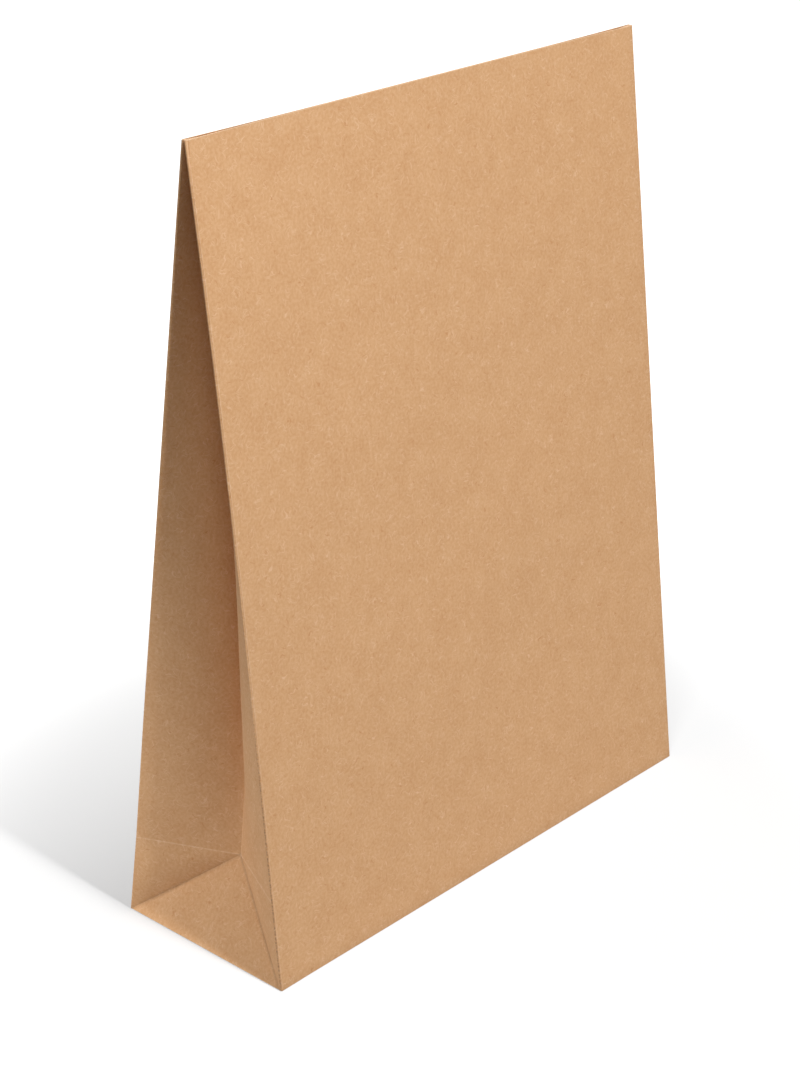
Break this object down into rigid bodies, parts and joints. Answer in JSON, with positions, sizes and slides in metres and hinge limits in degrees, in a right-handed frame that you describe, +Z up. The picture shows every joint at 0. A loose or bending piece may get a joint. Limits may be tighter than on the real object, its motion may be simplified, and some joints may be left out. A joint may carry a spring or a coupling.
{
  "type": "paper gift bag",
  "caption": "Plain brown kraft paper bag with side gussets and a block bottom, standing with its mouth pressed shut.",
  "frame": {"origin": "middle of the bottom, on the surface the bag stands on", "axes": "+X along the bag's width, -Y out of its front panel, +Z up to the mouth"},
  "size_m": [0.3, 0.1022, 0.3893],
  "materials": {
    "kraft_paper": "matte brown kraft with fine fibre flecks"
  },
  "bodies": {
    "root": {"paper_bag": "kraft_paper"}
  },
  "joints": []
}
